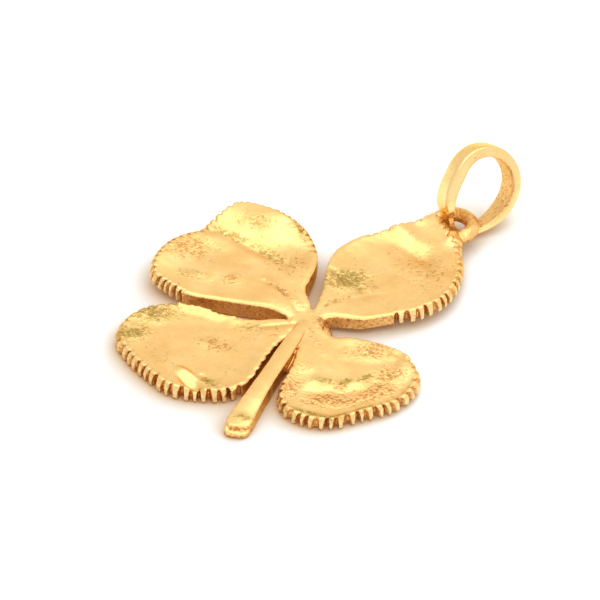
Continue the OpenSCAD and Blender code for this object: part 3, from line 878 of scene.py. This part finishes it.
def gold(name, seed, polish=0.0, tones=((0.95, 0.58, 0.21), (1, 0.68, 0.28))):
    """Cast gold between two tones, smoother by the polish. The layers of the mesh add its wear, its painted
    shade and its painted highlights.
    """
    material, nodes, links, shader = new_material(name)
    shader.inputs["Metallic"].default_value = 1
    shader.inputs["Specular Tint"].default_value = (1, 0.78, 0.42, 1)
    place = nodes.new("ShaderNodeTexCoord")

    def layer(key):
        node = nodes.new("ShaderNodeAttribute")
        node.attribute_name = key
        return node.outputs["Fac"]

    def noise(kind):
        """One of the noises. Its offset moves it, so that no two of them match."""
        size_mm, detail, rough, offset = NOISES[kind]
        move = nodes.new("ShaderNodeVectorMath")
        move.operation = "ADD"
        move.inputs[1].default_value = (offset * 0.013 + seed, offset * 0.007, 0)
        links.new(place.outputs["Object"], move.inputs[0])
        node = nodes.new("ShaderNodeTexNoise")
        node.inputs["Scale"].default_value = 1 / (size_mm * MM)
        node.inputs["Detail"].default_value = detail
        node.inputs["Roughness"].default_value = rough
        links.new(move.outputs[0], node.inputs["Vector"])
        return node.outputs["Fac"]

    def spread(value, *numbers):
        return map_range(nodes, links, value, *numbers)

    def maths(kind, a, b):
        node = nodes.new("ShaderNodeMath")
        node.operation = kind
        for slot, value in enumerate((a, b)):
            if isinstance(value, (int, float)):
                node.inputs[slot].default_value = value
            else:
                links.new(value, node.inputs[slot])
        return node.outputs[0]

    def mix(share, a, b):
        node = nodes.new("ShaderNodeMix")
        node.data_type = "RGBA"
        links.new(share, node.inputs["Factor"])
        for slot, value in ((6, a), (7, b)):
            if isinstance(value, tuple):
                node.inputs[slot].default_value = (*value, 1)
            else:
                links.new(value, node.inputs[slot])
        return node.outputs[2]

    def stain(noise_value, amount, tint, strength):
        """Specks of a tint where the noise is low: the higher the amount, the more of them run together."""
        line = maths("ADD", maths("MULTIPLY", amount, SPECK_LINE[0]), SPECK_LINE[1])
        share = maths("MULTIPLY", maths("SUBTRACT", line, noise_value), SPECK_EDGE)
        return mix(spread(share, 0, 1, 0, strength), colour, tint)

    pits, olive, orange = layer("pits"), layer("olive"), layer("orange")
    deep, crest_highlight = layer("painted_shade"), layer("crest_highlight")
    # the colour: broad tones, soft patches, specks, painted brown shade in recesses and painted pale
    # highlights on crests
    fine = noise("pits")
    colour = mix(spread(noise("tones"), *TONE_SPAN), *tones)
    patchy = noise("patches")
    for amount, (tint, strength) in ((orange, ORANGE), (olive, OLIVE)):
        share = maths("MULTIPLY", amount, spread(patchy, *PATCH_SPAN))
        colour = mix(maths("MULTIPLY", share, strength), colour, tint)
    colour = stain(fine, orange, *ORANGE_SPECKS)
    colour = stain(noise("olive_specks"), olive, *OLIVE_SPECKS)
    # painted brown shade in recesses, then painted pale highlight on crests
    for amount, (tint, strength) in ((deep, PAINTED_SHADE), (crest_highlight, CREST_HIGHLIGHT)):
        colour = mix(maths("MULTIPLY", amount, strength), colour, tint)
    links.new(colour, shader.inputs["Base Color"])
    # the roughness and the relief of the pits and the skin
    smooth, dull = ROUGHNESS
    rough = maths("ADD", spread(noise("gloss"), *GLOSS_SPAN, smooth - polish, dull - polish),
                  maths("MULTIPLY", pits, PIT_ROUGHNESS))
    links.new(rough, shader.inputs["Roughness"])
    height = maths("ADD", maths("MULTIPLY", maths("MULTIPLY", fine, pits), PIT_RELIEF),
                   maths("MULTIPLY", noise("skin"), SKIN_RELIEF))
    bump = nodes.new("ShaderNodeBump")
    bump.inputs["Strength"].default_value = 1
    bump.inputs["Distance"].default_value = RELIEF
    links.new(height, bump.inputs["Height"])
    links.new(bump.outputs[0], shader.inputs["Normal"])
    return material


def fill_ramp(node, rows, brightest=1):
    """Sets a colour ramp from rows of (place, colour), with each colour as a share of the brightest."""
    stops = node.color_ramp.elements
    for stop, (place, colour) in zip((stops[0], stops[1]), (rows[0], rows[-1])):
        stop.position, stop.color = place, (*(c / brightest for c in colour), 1)
    for place, colour in rows[1:-1]:
        stops.new(place).color = (*(c / brightest for c in colour), 1)


# The card's colour by how much of the sky it sees: painted shade, warm near the gold
TABLE_SHADE = [(0.22, (0.44, 0.24, 0.11)), (0.33, (0.62, 0.44, 0.28)), (0.5, (0.6, 0.48, 0.35)),
               (0.62, (0.62, 0.54, 0.44)), (0.72, (0.66, 0.615, 0.56)), (0.8, (0.71, 0.69, 0.66)),
               (0.88, (0.83, 0.822, 0.81)), (0.94, (0.92, 0.912, 0.905))]
SHADE_REACH = 6         # how far the shade reaches from the gold
# The painted shade looks out to the side that this leans to, so it lies on the other, where it would lie if
# most of the light came from there
OPEN_SIDE = (0.17, 0.62, 0.77)
GLOW = 0.25             # how brightly the card glows by itself, in the colours of its painted shade

TABLE_HALF = 1.5        # half the card's width, and how far it lies under the part, in metres
TABLE_DROP = 0.00002


def table_material():
    """White card, glowing a little by itself, with painted warm shade where the gold would throw it, close
    to itself and between the leaves.
    """
    material, nodes, links, shader = new_material("table_white")
    shader.inputs["Roughness"].default_value = 0.6
    shader.inputs["Specular IOR Level"].default_value = 0.2
    open_sky = nodes.new("ShaderNodeAmbientOcclusion")
    open_sky.inputs["Distance"].default_value = SHADE_REACH * MM
    open_sky.samples = 8
    lean = nodes.new("ShaderNodeCombineXYZ")
    for axis, part in zip("XYZ", OPEN_SIDE):
        lean.inputs[axis].default_value = part
    links.new(lean.outputs["Vector"], open_sky.inputs["Normal"])
    shade = nodes.new("ShaderNodeValToRGB")
    fill_ramp(shade, TABLE_SHADE)
    links.new(open_sky.outputs["AO"], shade.inputs["Fac"])
    links.new(shade.outputs["Color"], shader.inputs["Base Color"])
    links.new(shade.outputs["Color"], shader.inputs["Emission Color"])
    shader.inputs["Emission Strength"].default_value = GLOW
    return material


# Pieces

casting = build_casting(gold("clover_gold", seed=0))
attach(casting, "charm")
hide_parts("clover")

bail = build_bail(gold("bail_gold", seed=3, polish=0.04, tones=((0.98, 0.64, 0.26), (1, 0.75, 0.36))))
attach(bail, "loop")
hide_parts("bail")

# Table, light and camera


def build_table():
    mesh = bpy.data.meshes.new("table")
    low, high = -TABLE_HALF, TABLE_HALF
    corners = [(low, low, 0), (high, low, 0), (high, high, 0), (low, high, 0)]
    mesh.from_pydata(corners, [], [(0, 1, 2, 3)])
    mesh.materials.append(table_material())
    table = bpy.data.objects.new("table", mesh)
    table.location.z = -TABLE_DROP
    bpy.context.collection.objects.link(table)


# The white tent: how bright it is at each height, as the sine of the angle over the horizon
TENT = [(0, (0.9, 0.84, 0.76)), (0.2, (0.94, 0.92, 0.88)), (0.45, (0.96, 0.95, 0.93)),
        (0.72, (0.99, 0.99, 0.99)), (0.82, (1.1, 1.1, 1.1)), (0.9, (2.4, 2.4, 2.4)),
        (0.945, (2.4, 2.4, 2.4)), (0.97, (1.25, 1.25, 1.25)), (1, (1.05, 1.05, 1.05))]
BRIGHTEST = 3           # what the ramp's 1 stands for

# The tent is brighter on the side that this points to, by this share
BRIGHT_SIDE = ((0.68, 0.73, 0), 0.12)


def light_tent():
    world = bpy.data.worlds.new("tent")
    bpy.context.scene.world = world
    world.use_nodes = True
    nodes, links = world.node_tree.nodes, world.node_tree.links
    place = nodes.new("ShaderNodeTexCoord")
    split = nodes.new("ShaderNodeSeparateXYZ")
    links.new(place.outputs["Generated"], split.inputs[0])
    shade = nodes.new("ShaderNodeValToRGB")
    fill_ramp(shade, TENT, BRIGHTEST)
    links.new(split.outputs["Z"], shade.inputs["Fac"])
    background = nodes["Background"]
    side, share = BRIGHT_SIDE
    along = nodes.new("ShaderNodeVectorMath")
    along.operation = "DOT_PRODUCT"
    along.inputs[1].default_value = side
    links.new(place.outputs["Generated"], along.inputs[0])
    darker, brighter = BRIGHTEST * (1 - share), BRIGHTEST * (1 + share)
    strength = map_range(nodes, links, along.outputs["Value"], -1, 1, darker, brighter)
    links.new(strength, background.inputs["Strength"])
    links.new(shade.outputs["Color"], background.inputs["Color"])


def place_camera():
    heading, height = math.radians(CAMERA_HEADING), math.radians(CAMERA_HEIGHT)
    level = math.cos(height)
    back = Vector((math.sin(heading) * level, -math.cos(heading) * level, math.sin(height)))
    right = Vector((math.cos(heading), math.sin(heading), 0))
    up = back.cross(right)
    hub = Vector((*(SHIFT[:2]), HUB_TOP))
    off_x, off_y = HUB_PIXEL[0] - IMAGE_SIZE / 2, HUB_PIXEL[1] - IMAGE_SIZE / 2
    target = hub - right * off_x * PIXEL_SIZE + up * off_y * PIXEL_SIZE
    data = bpy.data.cameras.new("camera")
    data.sensor_width = SENSOR
    data.lens = SENSOR * CAMERA_DISTANCE / (PIXEL_SIZE * IMAGE_SIZE)
    data.clip_start, data.clip_end = CLIP
    camera = bpy.data.objects.new("camera", data)
    camera.location = (target + back * CAMERA_DISTANCE) * MM
    camera.rotation_euler = back.to_track_quat("Z", "Y").to_euler()
    bpy.context.collection.objects.link(camera)
    bpy.context.scene.camera = camera


build_table()
light_tent()
place_camera()
bpy.context.scene.view_settings.view_transform = "Standard"
